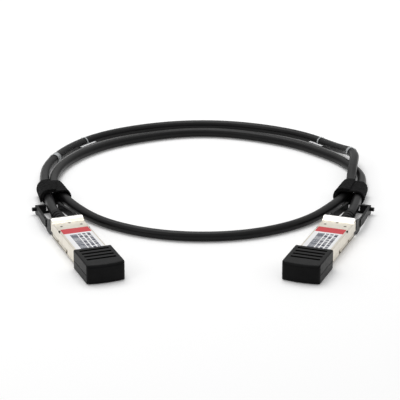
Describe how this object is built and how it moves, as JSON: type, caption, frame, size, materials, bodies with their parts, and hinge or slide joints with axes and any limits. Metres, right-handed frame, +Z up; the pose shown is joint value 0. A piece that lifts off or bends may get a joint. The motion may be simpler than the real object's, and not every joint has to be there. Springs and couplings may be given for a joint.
{
  "type": "direct attach copper cable",
  "caption": "Direct attach copper cable: wide metal plugs with pull tabs and rubber dust caps, joined by a round black cable lying in a tied ring.",
  "frame": {"origin": "on the surface that the cable lies on, at the middle of the box round the two plugs", "axes": "+Z up, +X from the left plug to the right plug, -Y towards the noses, whose plugs are turned 20.3 degrees about +Z so that the noses draw together"},
  "size_m": [0.1984, 0.2641, 0.0117],
  "materials": {
    "shell": "satin nickel plating on die-cast zinc",
    "screw": "plain steel",
    "board": "green solder mask",
    "moulding": "matt ivory moulding",
    "insulation": "smooth insulation",
    "ferrule": "crimped",
    "boot": "matt, ringed",
    "slider": "bright bent sheet",
    "spring": "drawn wire",
    "tab": "fine matt moulding",
    "cap": "matt moulded rubber",
    "label": "coated white film with a red band",
    "jacket": "satin black jacket",
    "film": "clear heat-shrink film",
    "tie": "black hook-and-loop fabric"
  },
  "bodies": {
    "plugs_and_cable": {"left_upper_shell": "shell", "left_lower_shell": "shell", "left_shell_screws": "screw", "left_paddle_board": "board", "left_wire_block": "moulding", "left_wire_pairs": "insulation", "left_crimp_ferrule": "ferrule", "left_strain_relief": "boot", "left_return_springs": "spring", "left_label": "label", "right_upper_shell": "shell", "right_lower_shell": "shell", "right_shell_screws": "screw", "right_paddle_board": "board", "right_wire_block": "moulding", "right_wire_pairs": "insulation", "right_crimp_ferrule": "ferrule", "right_strain_relief": "boot", "right_return_springs": "spring", "right_label": "label", "cable": "jacket", "left_clear_sleeve": "film", "left_tie": "tie", "right_clear_sleeve": "film", "right_tie": "tie"},
    "left_slider": {"left_latch_slider": "slider", "left_pull_tab": "tab"},
    "left_cap": {"left_dust_cap": "cap"},
    "right_slider": {"right_latch_slider": "slider", "right_pull_tab": "tab"},
    "right_cap": {"right_dust_cap": "cap"}
  },
  "joints": [
    {"name": "left_pull", "type": "slide", "parent": "plugs_and_cable", "child": "left_slider", "axis": [-0.3469, 0.9379, 0], "range_m": [0, 0.0025], "stiffness_N_per_m": 400, "springref_m": -0.004, "deforming": ["left_return_springs"]},
    {"name": "left_cap_off", "type": "slide", "parent": "plugs_and_cable", "child": "left_cap", "axis": [0.3469, -0.9379, 0], "range_m": [0, 0.025]},
    {"name": "right_pull", "type": "slide", "parent": "plugs_and_cable", "child": "right_slider", "axis": [0.3469, 0.9379, 0], "range_m": [0, 0.0025], "stiffness_N_per_m": 400, "springref_m": -0.004, "deforming": ["right_return_springs"]},
    {"name": "right_cap_off", "type": "slide", "parent": "plugs_and_cable", "child": "right_cap", "axis": [-0.3469, -0.9379, 0], "range_m": [0, 0.025]}
  ]
}
